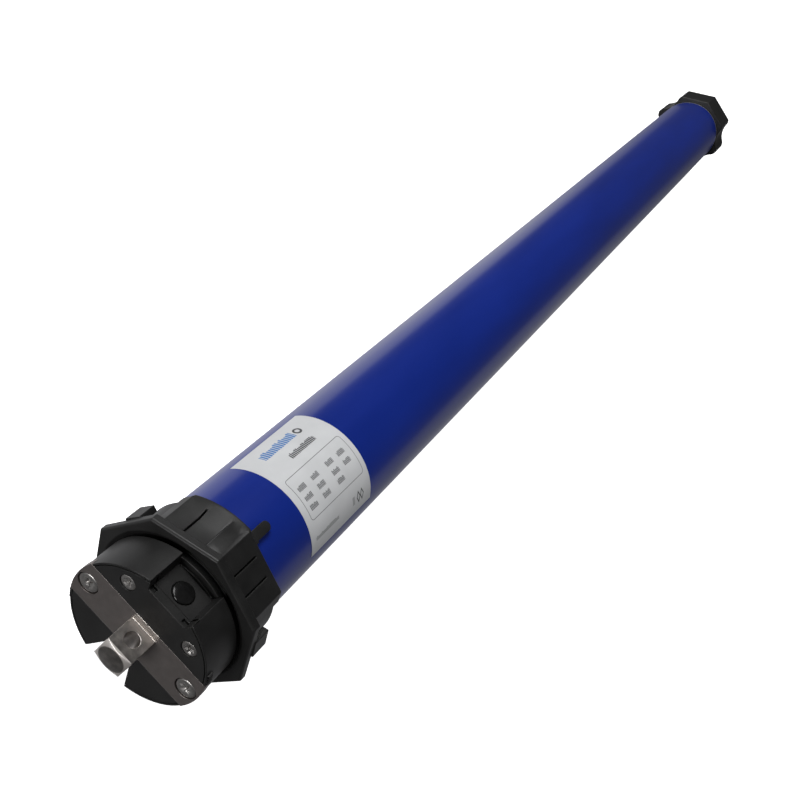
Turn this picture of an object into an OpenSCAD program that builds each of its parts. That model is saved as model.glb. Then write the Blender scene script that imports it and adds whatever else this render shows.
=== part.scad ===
// Tubular motor for a roller shutter, in millimetres.
// +X runs along the motor from the fixed head to the drive wheel, +Z points to the side with
// the setting button, and the origin is the centre of the bracket plate's front face.
// Every sub-part is drawn standing on end and then laid along +X by along_motor():
// while it stands, x is +Y, y is +Z and z is the distance along the motor.

/* [Head] */
// Outside diameter of the head
head_d = 50; // [48:0.5:54]
// Length of the head in front of the crown
head_len = 14.3; // [14:0.1:14.6]
// Width of the bracket plate
plate_w = 16; // [14:0.5:17]
// Thickness of the bracket plate
plate_t = 2.5; // [2:0.1:3]
// Side of the square mounting stud
stud_w = 10; // [9:0.5:11]
// Length of the stud in front of the plate
stud_len = 11; // [9:0.5:16]
// Diameter of the split pin hole across the stud
stud_hole_d = 5; // [4:0.1:5.5]
// Half angle of the button recess and of the cable notch
notch_angle = 20; // [16:0.5:22]

/* [Tube] */
// Outside diameter of the motor tube
tube_d = 45; // [44.6:0.1:45.4]
// Wall thickness of the motor tube
tube_wall = 1; // [0.8:0.1:1]
// Distance from the plate's face to the far end of the tube
tube_end = 640; // [640:1:660]

/* [Crown] */
// Corner to corner size of the crown's flange
crown_flange_d = 62.4; // [61:0.2:64]
// Corner to corner size of the crown's body
crown_body_d = 56; // [55:0.2:58]
// Distance from the plate's face to the crown's rear edge
crown_rear = 34.4; // [33:0.2:34.4]

/* [Drive wheel] */
// Corner to corner size of the drive wheel
wheel_d = 54; // [52:0.5:57]
// Length of the drive wheel
wheel_len = 23; // [18:0.5:26]

/* [Gears] */
// Module of the planetary gears
gear_module = 0.7; // [0.7:0.01:0.71]
// Teeth on each sun gear
sun_teeth = 12; // [12:1:12]
// Teeth on each planet gear
planet_teeth = 21; // [21:1:21]
// Teeth on the running ring that turns the position sensor
sensor_ring_teeth = 72; // [72:24:72]
// Teeth on the position sensor's pinion
sensor_pinion_teeth = 24; // [24:24:24]

/* [Hidden] */
$fn = 64;
through = 1;            // how far a cutter reaches past the face that it opens
gap = 0.05;             // play between fixed pieces
run_gap = 0.08;         // radial play of a turning fit

// head
head_r = head_d / 2;
cap_r = head_r - 0.95;
cap_len = 5;
rim_r = head_r - 0.7;
floor_z = 20;
seat_z = 18.2;
seat_w = 12.6;
stud_foot = 15;
stud_flange = 2;
collar_r = 21.9;
collar_x = 15;
spigot_x = 17;
spigot_end = 46;
spigot_r = 19.2;
spigot_bore = 17.5;
back_wall_x = 12;
plate_screw_y = 20.8;
cap_screw_y = 12.65;
cap_screw_z = 14.7;
screw_depth = 11;
button_x = 7.6;
button_r = 3.55;
pocket_x = [3, 12.2];
pocket_half = 5;
pocket_z = 9;
cable_z = -13.4;
cable_r = 3;
cable_wall = 0.8;

// crown, running ring and position sensor
crown_x = 15;
crown_flange_len = 3;
crown_mouth_r = 26.3;
ring_x = 17.4;
ring_end = 34.2;
tube_r = tube_d / 2;
tube_bore = tube_r - tube_wall;
sleeve_r = tube_bore - 0.1;
sleeve_x = 23.7;
sleeve_end = 52;
tube_x = 34.8;
sensor_module = 0.56;
sensor_gear_len = 5;
sensor_offset = sensor_module * (sensor_ring_teeth - sensor_pinion_teeth) / 2;
sensor_shaft_r = 1.2;
crown_side_r = 24.7;
crown_corner_angle = 54;
crown_rim_r = 27.9;
slot_spread = 3.6;
slot_w = 0.7;
slot_depth = 2;
tongue_angle = 4.5;
hook_angle = 65;

// control electronics
tray_x = 56;
tray_end = 206;
tray_r = 20.9;
tray_wall = 1.2;
board_z = -6;
board_t = 1.6;
board_top = board_z + board_t;
capacitor_x = 212;
capacitor_end = 270;

// motor
front_shield_x = 276;
stator_x = 306;
stator_end = 396;
stator_r = 21.3;
rotor_r = 11.1;
air_gap = 0.4;
shaft_r = 4;
bearing_r = 11;
bearing_len = 7;
rear_shield_x = 411;
end_turn_len = 12;
slot_count = 12;

// brake
brake_x = 427;
brake_r = 20.5;
brake_pot_len = 16;
armature_x = brake_x + brake_pot_len + 0.5;
armature_t = 3;
disc_x = armature_x + armature_t + 0.1;
disc_t = 3;
end_plate_x = disc_x + disc_t + 0.1;
brake_post_r = 18.2;

// gearbox
flange_x = 458;
ring_gear_x = 466;
ring_teeth = sun_teeth + 2 * planet_teeth;
planet_count = 3;
planet_orbit = gear_module * (sun_teeth + planet_teeth) / 2;
stage_x = [468, 486, 509];
stage_len = [12, 16, 24];
plate_len = [4, 5, 8];
carrier_gap = 0.5;
pin_r = 2;
carrier_r = 16.5;
ring_gear_end = 545;
pressure_angle = 25;
backlash = 0.05;
output_r = 8;
output_end = 667;
housing_end = 636;
wheel_x = tube_end + 2;
wheel_turn = -11;

function x_of_plate(stage) = stage_x[stage] + stage_len[stage] + carrier_gap;

// Lays a piece that stands on end along the motor's axis
module along_motor() { rotate([90, 0, 90]) children(); }

module disc(r, from, to) { translate([0, 0, from]) cylinder(r = r, h = to - from); }

module ring(r, bore, from, to) {
    difference() {
        disc(r, from, to);
        disc(bore, from - through, to + through);
    }
}

// A wedge of space, at least from near the axis out past the head, opening towards +y
module wedge(half_angle, from, to, reach = 60) {
    spread = reach * tan(half_angle);
    translate([0, 0, from]) linear_extrude(to - from)
        polygon([[0, 0], [spread, reach], [-spread, reach]]);
}

// A box given by its middle in x, and by the span of its y and z
module slab(width, y, z) {
    translate([-width / 2, y[0], z[0]]) cube([width, y[1] - y[0], z[1] - z[0]]);
}

// The space beyond a flat floor and between two radial walls
module recess(half_angle, floor_height, from, to) {
    intersection() {
        wedge(half_angle, from, to);
        slab(80, [floor_height, 60], [from, to]);
    }
}

module bore_at(x, y, r, from, to) { translate([x, y, 0]) disc(r, from, to); }

// A cross recess cut into a screw head, its deepest point at depth
module cross(size, from, depth) {
    for (turn = [0, 90]) rotate(turn)
        translate([-size / 2, -size / 10, from - through]) cube([size, size / 5, depth + through]);
}

// Involute angle in degrees at a pressure angle
function inv(a) = tan(a) * 180 / PI - a;
// Half of a tooth's angle at radius r, where the tooth is thinned at the pitch circle
function half_tooth(r, teeth, m, thin) =
    let (pitch_r = m * teeth / 2, base_r = pitch_r * cos(pressure_angle))
    90 / teeth - thin / 2 / pitch_r * 180 / PI + inv(pressure_angle)
        - inv(acos(min(1, base_r / max(r, base_r))));
function polar(r, a) = [r * cos(a), r * sin(a)];
flank_steps = 4;
// One tooth's outline, tooth centred at angle a, from its root to its tip and back
function tooth(a, teeth, m, root, tip, thin) =
    let (start = max(root, m * teeth / 2 * cos(pressure_angle)),
         radii = [for (i = [0 : flank_steps]) start + (tip - start) * i / flank_steps])
    concat([polar(root, a - half_tooth(start, teeth, m, thin))],
        [for (r = radii) polar(r, a - half_tooth(r, teeth, m, thin))],
        [for (i = [flank_steps : -1 : 0]) polar(radii[i], a + half_tooth(radii[i], teeth, m, thin))],
        [polar(root, a + half_tooth(start, teeth, m, thin))]);
function gear_outline(teeth, m, root, tip, thin) =
    [for (i = [0 : teeth - 1]) each tooth(i * 360 / teeth, teeth, m, root, tip, thin)];
addendum = 0.8;
dedendum = 1;

// An outside gear with a tooth on the x axis
module gear(teeth, m, from, to) {
    pitch_r = m * teeth / 2;
    translate([0, 0, from]) linear_extrude(to - from)
        polygon(gear_outline(teeth, m, pitch_r - dedendum * m, pitch_r + addendum * m, backlash));
}

// The space inside an inside gear, with a tooth space on the x axis
module gear_space(teeth, m, from, to) {
    pitch_r = m * teeth / 2;
    translate([0, 0, from]) linear_extrude(to - from)
        polygon(gear_outline(teeth, m, pitch_r - addendum * m, pitch_r + dedendum * m, -backlash));
}

// Head: the plate and stud that fix the motor to the wall bracket

module bracket_plate() {
    color([0.36, 0.33, 0.32]) along_motor() difference() {
        intersection() {
            disc(head_r + 0.2, 0, plate_t);
            slab(3 * head_r, [-plate_w / 2, plate_w / 2], [0, plate_t]);
        }
        slab(stud_w, [-stud_w / 2, plate_w], [-through, plate_t + through]);
        for (side = [-1, 1]) {
            bore_at(side * plate_screw_y, 0, 1.9, -through, plate_t + through);
            bore_at(side * plate_screw_y, 0, 3.7, -through, 1.8);
        }
    }
}

module mounting_stud() {
    color([0.70, 0.67, 0.62]) along_motor() difference() {
        union() {
            intersection() {
                slab(stud_w, [-stud_w / 2, stud_w / 2], [-stud_len, plate_t + stud_flange]);
                union() {
                    disc(stud_w, 1 - stud_len, plate_t + stud_flange);
                    translate([0, 0, -stud_len])
                        cylinder(r1 = stud_w / 2 - 0.7, r2 = stud_w / 2 * sqrt(2), h = 1);
                }
            }
            slab(stud_w, [0, plate_w / 2], [0, plate_t]);
            slab(stud_foot, [-stud_foot / 2, stud_foot / 2], [plate_t, plate_t + stud_flange]);
        }
        translate([0, 0, -0.44 * stud_len]) rotate([90, 0, 0])
            cylinder(r = stud_hole_d / 2, h = 3 * stud_w, center = true);
    }
}

module plate_screws() {
    color([0.42, 0.40, 0.39]) along_motor() for (side = [-1, 1])
        translate([side * plate_screw_y, 0, 0]) difference() {
            union() {
                disc(1.5, 1.7, screw_depth);
                disc(3.5, 0.6, 1.8);
                translate([0, 0, 0.1]) cylinder(r1 = 2.4, r2 = 3.5, h = 0.5);
            }
            cross(3.4, 0.1, 1.1);
        }
}

module front_cap() {
    color([0.13, 0.13, 0.13]) along_motor() difference() {
        disc(cap_r, 0, cap_len);
        slab(3 * head_r, [-plate_w / 2, plate_w / 2], [-through, plate_t]);
        slab(stud_foot, [-stud_foot / 2, stud_foot / 2], [0, plate_t + stud_flange]);
        recess(notch_angle, floor_z, -through, cap_len + through);
        rotate(180) recess(notch_angle, 9, -through, cap_len + through);
        slab(2 * pocket_half, [pocket_z, seat_z], [pocket_x[0], cap_len + through]);
        slab(seat_w, [seat_z, floor_z + through], [pocket_x[0], cap_len + through]);
        for (side = [-1, 1]) {
            bore_at(side * plate_screw_y, 0, 1.9, 0, cap_len + through);
            translate([side * cap_screw_y, cap_screw_z, 0]) {
                disc(1.6, -through, cap_len + through);
                disc(2.75, -through, 1.4);
            }
        }
    }
}

module cap_screws() {
    color([0.45, 0.45, 0.43]) along_motor() for (side = [-1, 1])
        translate([side * cap_screw_y, cap_screw_z, 0]) difference() {
            union() {
                disc(1.35, 1.2, screw_depth);
                disc(2.7, 0.5, 1.4);
                translate([0, 0, 0.1]) cylinder(r1 = 2, r2 = 2.7, h = 0.4);
            }
            cross(2.6, 0.1, 1);
        }
}

module head_housing() {
    color([0.12, 0.12, 0.12]) along_motor() difference() {
        union() {
            disc(head_r, 0, head_len);
            disc(spigot_r, head_len, spigot_end);
            disc(collar_r, collar_x, spigot_x);
        }
        disc(rim_r, -through, cap_len);
        slab(3 * head_r, [-plate_w / 2 - gap, plate_w / 2 + gap], [-through, plate_t]);
        recess(notch_angle, floor_z, -through, head_len + 0.35);
        slab(seat_w, [seat_z, floor_z + through], [cap_len - through, head_len - 0.3]);
        rotate(180) recess(notch_angle, 9, -through, back_wall_x);
        slab(2 * pocket_half, [pocket_z, floor_z], [cap_len - through, pocket_x[1]]);
        bore_at(0, pocket_z + 3, 2.2, back_wall_x, spigot_end);
        bore_at(0, cable_z, cable_r + cable_wall, cap_len, spigot_end);
        disc(spigot_bore, spigot_x, spigot_end + through);
        bore_at(sensor_offset, 0, 7.6, spigot_x, sleeve_x + 0.2);
        bore_at(sensor_offset, 0, sensor_shaft_r + run_gap, spigot_x - 3, spigot_x + through);
        for (side = [-1, 1]) {
            bore_at(side * plate_screw_y, 0, 1.5 + gap, 0, screw_depth + 0.5);
            bore_at(side * cap_screw_y, cap_screw_z, 1.35 + gap, 0, screw_depth + 0.5);
        }
    }
}

// Insert that lines the recess floor around the setting button
module button_insert() {
    insert_x = [pocket_x[0] + gap, head_len - 0.4];
    step = 1.2;
    color([0.16, 0.16, 0.16]) along_motor() difference() {
        slab(seat_w - 0.2, [seat_z, floor_z], insert_x);
        translate([0, floor_z - step, 0])
            slab(40, [0, step + through], [head_len - 1.4, head_len]);
        translate([0, 0, button_x]) rotate([-90, 0, 0]) cylinder(r = button_r + 0.2, h = 40);
    }
}

module button() {
    travel_room = 0.1;
    flange_t = 0.7;
    flange_top = seat_z - travel_room;
    dome_r = 9;
    dome_top = 21.1;
    color([0.03, 0.03, 0.03]) along_motor() translate([0, 0, button_x]) rotate([-90, 0, 0]) {
        intersection() {
            translate([0, 0, flange_top - flange_t]) cylinder(r = button_r, h = 6);
            translate([0, 0, dome_top - dome_r]) sphere(r = dome_r);
        }
        translate([0, 0, flange_top - flange_t]) cylinder(r = 4.3, h = flange_t);
        translate([0, 0, 14.6]) cylinder(r = 1.5, h = 4);
    }
}

module push_switch() {
    body = 6;
    color([0.20, 0.20, 0.22]) along_motor() difference() {
        slab(body, [10.6, 14.4], [button_x - body / 2, button_x + body / 2]);
        translate([0, 12, button_x]) rotate([-90, 0, 0]) cylinder(r = 1.7, h = 10);
    }
}

module switch_board() {
    color([0.05, 0.30, 0.15]) along_motor() slab(9, [9.4, 10.6], [cap_len + 0.2, back_wall_x]);
}

// Rubber inlet that the supply cable passes through
module cable_grommet() {
    lip = 0.5;
    color([0.08, 0.08, 0.08]) along_motor() difference() {
        union() {
            bore_at(0, cable_z, cable_r + cable_wall - gap, back_wall_x - 1.4, spigot_x);
            bore_at(0, cable_z, cable_r + cable_wall + lip, back_wall_x - 1.4, back_wall_x - 0.1);
        }
        bore_at(0, cable_z, cable_r, 0, spigot_end);
    }
}

// Crown: the octagon that the shutter's roller tube turns, and the sensor that it drives

module crown_adapter() {
    chamfer = 0.6;
    flange_r = crown_flange_d / 2;
    body_r = crown_body_d / 2;
    body_x = crown_x + crown_flange_len;
    flat_r = body_r * cos(22.5);
    tongue_r = [tube_r + 0.4, tube_r + 2];
    tongue_half = 1.8;
    tongue_end = 44.8;
    color([0.10, 0.10, 0.10]) along_motor() {
        difference() {
            union() {
                translate([0, 0, crown_x]) cylinder(r1 = flange_r - chamfer, r2 = flange_r,
                    h = chamfer, $fn = 8);
                translate([0, 0, crown_x + chamfer])
                    cylinder(r = flange_r, h = crown_flange_len - chamfer, $fn = 8);
                disc(crown_side_r, body_x, crown_rear);
                intersection() {
                    union() {
                        translate([0, 0, body_x])
                            cylinder(r = body_r, h = crown_rear - chamfer - body_x, $fn = 8);
                        translate([0, 0, crown_rear - chamfer])
                            cylinder(r1 = body_r, r2 = body_r - chamfer, h = chamfer, $fn = 8);
                    }
                    for (end = [0, 180]) rotate(end)
                        wedge(crown_corner_angle, body_x - through, crown_rear + through);
                }
                crown_pad_and_rim();
            }
            disc(tube_r + 0.02, crown_x - through, crown_rear + through);
            disc(24.6, crown_x - through, ring_x);
            translate([0, 0, crown_x - 0.01])
                cylinder(r1 = crown_mouth_r, r2 = 24.6, h = 1.2);
            for (flat = [1, 2, 5, 6], side = [-1, 1]) if (flat != 1 || side < 0)
                rotate(22.5 + 45 * flat)
                    translate([flat_r - slot_depth, side * slot_spread - slot_w / 2, 20.3])
                        cube([2 * slot_depth, slot_w, 11]);
        }
        rotate(tongue_angle) intersection() {
            ring(tongue_r[1], tongue_r[0], crown_rear - 1.5, tongue_end);
            union() {
                slab(2 * tongue_half, [0, 40], [0, tongue_end - tongue_half]);
                slab(2 * tongue_half + 1, [0, 40], [0, crown_rear + 2.5]);
                translate([0, 0, tongue_end - tongue_half]) rotate([-90, 0, 0])
                    cylinder(r = tongue_half, h = 40);
            }
        }
        for (side = [-1, 1], end = [0, 180]) rotate(end + side * hook_angle)
            slab(6.4, [27.1, 29.4], [body_x - 0.5, body_x + 6.4]);
    }
}

// Flat pad beside the crown's top corner, and the round rim that rises behind it
module crown_pad_and_rim() {
    rise = 12;
    translate([3.05, 0, 0]) slab(5.5, [crown_side_r - 1, 27.3], [20.5, 32]);
    intersection() {
        union() {
            translate([0, 0, crown_rear - rise])
                cylinder(r1 = crown_side_r - 0.2, r2 = crown_rim_r, h = rise);
            disc(crown_rim_r, crown_rear - 0.01, crown_rear + 0.4);
        }
        rotate(-22.5) wedge(22.5, crown_rear - rise, crown_rear + 1);
    }
}

module running_ring() {
    color([0.12, 0.12, 0.12]) along_motor() difference() {
        disc(tube_r, ring_x, ring_end);
        disc(sleeve_r + run_gap, sleeve_x - 0.3, ring_end + through);
        gear_space(sensor_ring_teeth, sensor_module, ring_x - through, sleeve_x);
    }
}

module sensor_pinion() {
    color([0.85, 0.83, 0.76]) along_motor() translate([sensor_offset, 0, 0]) {
        gear(sensor_pinion_teeth, sensor_module, ring_x + 0.4, ring_x + 0.4 + sensor_gear_len);
        disc(sensor_shaft_r, spigot_x - 2.8, 32);
        disc(3.8, 25, 28);
    }
}

module sensor_carrier() {
    color([0.75, 0.75, 0.72]) along_motor() difference() {
        disc(spigot_bore - gap, 29, 31);
        bore_at(sensor_offset, 0, sensor_shaft_r + run_gap, 28, 33);
        bore_at(0, cable_z, 4, 28, 33);
        bore_at(0, -cable_z, 3, 28, 33);
    }
}

module sensor_board() {
    color([0.05, 0.30, 0.15]) along_motor() difference() {
        union() {
            disc(spigot_bore - 0.3, 33, 34.2);
            bore_at(sensor_offset, 0, 2.2, 34.2, 35.6);
        }
        bore_at(0, cable_z, 4, 32, 36);
        bore_at(0, -cable_z, 3, 32, 36);
    }
}

module neck_sleeve() {
    color([0.14, 0.14, 0.14]) along_motor() difference() {
        ring(sleeve_r, spigot_r + gap, sleeve_x, sleeve_end);
        for (side = [-1, 1]) rotate(180 + side * 40)
            translate([0, 0, 47]) rotate([-90, 0, 0]) cylinder(r = 1.3, h = 40);
    }
}

// Tube and label

module motor_tube() {
    color([0.04, 0.10, 0.52]) along_motor() difference() {
        ring(tube_r, tube_bore, tube_x, tube_end);
        for (x = [47, tube_end - 20], side = [-1, 1]) rotate(180 + side * 40)
            translate([0, 0, x]) rotate([-90, 0, 0]) cylinder(r = 1.6, h = 40);
    }
}

module type_label() {
    label_x = 59.6;
    label_len = 39.2;
    label_t = 0.12;
    label_turn = 121;
    color([0.85, 0.87, 0.90]) along_motor() rotate(90 - label_turn / 2)
        rotate_extrude(angle = label_turn)
            translate([tube_r + 0.01, label_x]) square([label_t, label_len]);
}

module tube_screws() {
    color([0.55, 0.55, 0.54]) along_motor() for (x = [47, tube_end - 20], side = [-1, 1])
        rotate(180 + side * 40) translate([0, 0, x]) rotate([-90, 0, 0]) {
            translate([0, 0, 20]) cylinder(r = 1.25, h = tube_r - 19.5);
            translate([0, 0, tube_r + 0.05]) cylinder(r1 = 2.6, r2 = 1.8, h = 0.9);
        }
}

// Control electronics

module board_tray() {
    rail_w = 2.5;
    color([0.20, 0.20, 0.20]) along_motor() {
        difference() {
            ring(tray_r, tray_r - tray_wall, tray_x, tray_end);
            slab(60, [board_z, 60], [tray_x - through, tray_end + through]);
        }
        for (side = [-1, 1]) translate([side * 17.2, 0, 0])
            slab(rail_w, [board_z - 2.5, board_z], [tray_x, tray_end]);
    }
}

module control_board() {
    color([0.05, 0.30, 0.15]) along_motor()
        slab(35, [board_z, board_top], [tray_x + 2, tray_end - 2]);
}

module relays() {
    color([0.10, 0.18, 0.45]) along_motor() for (x = [84, 104])
        slab(15, [board_top, board_top + 14], [x, x + 18]);
}

module transformer() {
    color([0.55, 0.45, 0.15]) along_motor() {
        slab(22, [board_top, board_top + 15], [128, 134]);
        slab(22, [board_top, board_top + 15], [144, 150]);
        slab(14, [board_top, board_top + 13], [134, 144]);
    }
}

module terminal_block() {
    color([0.10, 0.45, 0.20]) along_motor() difference() {
        slab(26, [board_top, board_top + 9], [60, 70]);
        for (i = [-2 : 2]) bore_at(i * 5, board_top + 5, 1.6, 59, 66);
    }
}

module radio_module() {
    color([0.08, 0.25, 0.40]) along_motor() {
        slab(18, [board_top, board_top + 1], [166, 194]);
        slab(12, [board_top + 1, board_top + 3.5], [170, 182]);
        translate([6, board_top + 3, 184]) cube([1.2, 1.2, 9]);
        slab(14, [board_top + 1, board_top + 4], [183.5, 185.5]);
    }
}

module run_capacitor() {
    can_r = 16;
    color([0.75, 0.76, 0.78]) along_motor() {
        disc(can_r, capacitor_x, capacitor_end);
        for (x = [-6, 6]) translate([x, 0, 0]) slab(5, [-0.5, 0.5], [capacitor_x - 4, capacitor_x]);
    }
}

module capacitor_sleeve() {
    color([0.25, 0.25, 0.27]) along_motor() ring(tray_r, 16.05, capacitor_x + 1, capacitor_end);
}

// Induction motor

module shield(from, to) {
    wall = 3;
    difference() {
        union() {
            disc(21.4, from, from + wall);
            ring(21.4, 19.2, from, to);
            disc(bearing_r + 2.5, from, from + wall + bearing_len);
        }
        disc(shaft_r + 1, from - through, to);
        disc(bearing_r + 0.02, from + wall, to);
    }
}

module front_shield() {
    color([0.65, 0.66, 0.67]) along_motor() shield(front_shield_x, front_shield_x + 16);
}

module rear_shield() {
    color([0.65, 0.66, 0.67]) along_motor()
        translate([0, 0, rear_shield_x + 13]) mirror([0, 0, 1]) shield(0, 13);
}

module shaft_bearings() {
    race = 2.6;
    color([0.72, 0.73, 0.75]) along_motor()
        for (x = [front_shield_x + 3, rear_shield_x + 13 - 3 - bearing_len]) difference() {
            ring(bearing_r, shaft_r + run_gap, x, x + bearing_len);
            for (face = [x - through, x + bearing_len - 0.8])
                ring(bearing_r - race, shaft_r + race, face, face + 0.8 + through);
        }
}

module winding_slots(grow, from, to) {
    for (i = [0 : slot_count - 1]) rotate(i * 360 / slot_count)
        translate([12.7 - grow, -2 - grow, from]) cube([5.8 + 2 * grow, 4 + 2 * grow, to - from]);
}

module stator_core() {
    color([0.45, 0.46, 0.48]) along_motor() difference() {
        ring(stator_r, rotor_r + air_gap, stator_x, stator_end);
        winding_slots(0.1, stator_x - through, stator_end + through);
    }
}

module stator_windings() {
    color([0.72, 0.35, 0.14]) along_motor() {
        winding_slots(0, stator_x - 1, stator_end + 1);
        ring(18.8, 12.4, stator_x - end_turn_len, stator_x - 0.4);
        ring(18.8, 12.4, stator_end + 0.4, stator_end + end_turn_len);
    }
}

module thermal_switch() {
    color([0.90, 0.88, 0.80]) along_motor()
        translate([15.5, -4, stator_x - end_turn_len - 5]) cube([3, 8, 4.9]);
}

module rotor_core() {
    color([0.60, 0.61, 0.62]) along_motor() ring(rotor_r, shaft_r + 0.02, stator_x, stator_end);
}

module rotor_shaft() {
    color([0.70, 0.71, 0.73]) along_motor() {
        disc(shaft_r, front_shield_x + 1.5, ring_gear_x - 0.5);
        disc(3.3, ring_gear_x - 1, stage_x[0] + 0.5);
        gear(sun_teeth, gear_module, stage_x[0] - 0.5, x_of_plate(0) - carrier_gap);
    }
}

// Spring-applied brake: current in the coil pulls the armature off the disc

module brake_magnet() {
    post_r = 1.5;
    color([0.30, 0.31, 0.33]) along_motor() {
        difference() {
            disc(brake_r, brake_x, brake_x + brake_pot_len);
            disc(shaft_r + 1, brake_x - through, armature_x);
            ring(16, 9, brake_x + 4, armature_x);
            for (i = [0 : 2]) rotate(i * 120 + 60) bore_at(brake_post_r, 0, 1.6, 435, armature_x);
        }
        for (i = [0 : 2]) rotate(i * 120)
            bore_at(brake_post_r, 0, post_r, brake_x + brake_pot_len - 1, end_plate_x);
    }
}

module brake_coil() {
    color([0.72, 0.35, 0.14]) along_motor() ring(15.9, 9.1, brake_x + 4.2, armature_x - 1.5);
}

module brake_armature() {
    color([0.50, 0.51, 0.53]) along_motor() difference() {
        ring(brake_r - 0.2, shaft_r + 1.5, armature_x, armature_x + armature_t);
        for (i = [0 : 2]) rotate(i * 120)
            bore_at(brake_post_r, 0, 1.6, armature_x - through, armature_x + 2 * armature_t);
    }
}

module brake_springs() {
    color([0.68, 0.69, 0.71]) along_motor() for (i = [0 : 2]) rotate(i * 120 + 60)
        translate([brake_post_r, 0, 0]) ring(1.4, 0.8, 436, armature_x);
}

module brake_disc() {
    color([0.35, 0.28, 0.22]) along_motor() {
        ring(16.2, shaft_r + 0.02, disc_x, disc_x + disc_t);
        ring(5.2, shaft_r + 0.02, disc_x - 1, disc_x + disc_t + 1);
    }
}

module brake_end_plate() {
    color([0.50, 0.51, 0.53]) along_motor() ring(brake_r, shaft_r + 2, end_plate_x, end_plate_x + 3);
}

// Three-stage planetary gearbox

module gearbox_flange() {
    color([0.55, 0.56, 0.58]) along_motor() ring(21.4, shaft_r + 0.5, flange_x, ring_gear_x);
}

module ring_gear() {
    sides = 90;
    color([0.58, 0.59, 0.60]) along_motor() difference() {
        translate([0, 0, ring_gear_x]) linear_extrude(ring_gear_end - ring_gear_x)
            polygon([for (i = [0 : sides - 1]) polar(21.3, i * 360 / sides)]);
        gear_space(ring_teeth, gear_module, ring_gear_x - through, ring_gear_end + through);
    }
}

// A carrier's plate and the pins that its planets turn on
module carrier(stage) {
    plate_x = x_of_plate(stage);
    disc(carrier_r, plate_x, plate_x + plate_len[stage]);
    for (i = [0 : planet_count - 1]) rotate(i * 360 / planet_count)
        bore_at(planet_orbit, 0, pin_r, stage_x[stage] - 0.5, plate_x + 1);
}

// A carrier with the next stage's sun gear on its rear face
module sun_carrier(stage) {
    carrier(stage);
    gear(sun_teeth, gear_module, x_of_plate(stage) + plate_len[stage] - 1,
        stage_x[stage + 1] + stage_len[stage + 1]);
}

module carrier_1() { color([0.62, 0.55, 0.35]) along_motor() sun_carrier(0); }

module carrier_2() { color([0.62, 0.55, 0.35]) along_motor() sun_carrier(1); }

module output_carrier() {
    flat = 7;
    color([0.66, 0.67, 0.69]) along_motor() difference() {
        union() {
            carrier(2);
            intersection() {
                disc(output_r, x_of_plate(2) + 1, output_end);
                union() {
                    disc(2 * output_r, 0, wheel_x - 0.5);
                    slab(2 * flat, [-20, 20], [0, output_end]);
                }
            }
        }
        disc(2.5, output_end - 16, output_end + through);
    }
}

// A planet of one stage, turned about its pin until its teeth mesh with the sun and the ring
module planet(stage, index) {
    place = index * 360 / planet_count;
    phase = -place * (1 + sun_teeth / planet_teeth);
    color([0.78, 0.76, 0.70]) along_motor() translate(planet_orbit * [cos(place), sin(place), 0])
        rotate(phase) difference() {
            gear(planet_teeth, gear_module, stage_x[stage], stage_x[stage] + stage_len[stage]);
            disc(pin_r + run_gap, stage_x[stage] - through, x_of_plate(stage) + through);
        }
}

module output_housing() {
    seat_r = 11;
    color([0.52, 0.53, 0.55]) along_motor() difference() {
        union() {
            disc(21.4, ring_gear_end, tube_end);
            disc(tube_r, tube_end, tube_end + 1.2);
        }
        disc(output_r + 1, ring_gear_end - through, wheel_x);
        disc(seat_r + 0.02, ring_gear_end + 2, ring_gear_end + 17);
        disc(seat_r + 0.02, housing_end - 14, wheel_x);
        ring(18.4, 13.6, ring_gear_end + 24, housing_end - 18);
        for (side = [-1, 1]) rotate(180 + side * 40)
            translate([0, 0, tube_end - 20]) rotate([-90, 0, 0]) cylinder(r = 1.3, h = 40);
    }
}

module output_bushes() {
    color([0.72, 0.55, 0.25]) along_motor()
        for (x = [ring_gear_end + 2, housing_end - 14]) ring(11, output_r + run_gap, x, x + 15);
}

module drive_wheel() {
    flat = 7;
    dip_r = 14;
    dip_centre = wheel_d / 2 * cos(22.5) + dip_r - 2.2;
    rim = 3;
    color([0.12, 0.12, 0.12]) along_motor() difference() {
        translate([0, 0, wheel_x]) rotate(wheel_turn) cylinder(r = wheel_d / 2, h = wheel_len, $fn = 8);
        intersection() {
            disc(output_r + 0.02, wheel_x - through, wheel_x + wheel_len + through);
            slab(2 * flat + 0.04, [-20, 20], [wheel_x - through, wheel_x + wheel_len + through]);
        }
        for (dip = [78.5, 123.5, 258.5, 303.5]) rotate(90 - dip)
            bore_at(dip_centre, 0, dip_r, wheel_x - through, wheel_x + wheel_len + through);
        for (face = [wheel_x - through, wheel_x + 11.5])
            ring(18, 12, face, face + 10 + through);
    }
}

module wheel_fixing() {
    thread_r = 2.45;
    wheel_end = wheel_x + wheel_len;
    color([0.70, 0.70, 0.70]) along_motor() difference() {
        union() {
            disc(thread_r, wheel_end - 12, output_end + 1);
            disc(10.5, output_end + 0.01, output_end + 1.4);
            disc(4.6, output_end + 1.3, output_end + 4);
        }
        translate([0, 0, output_end + 2]) cylinder(r = 2.4, h = 4, $fn = 6);
    }
}

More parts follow.
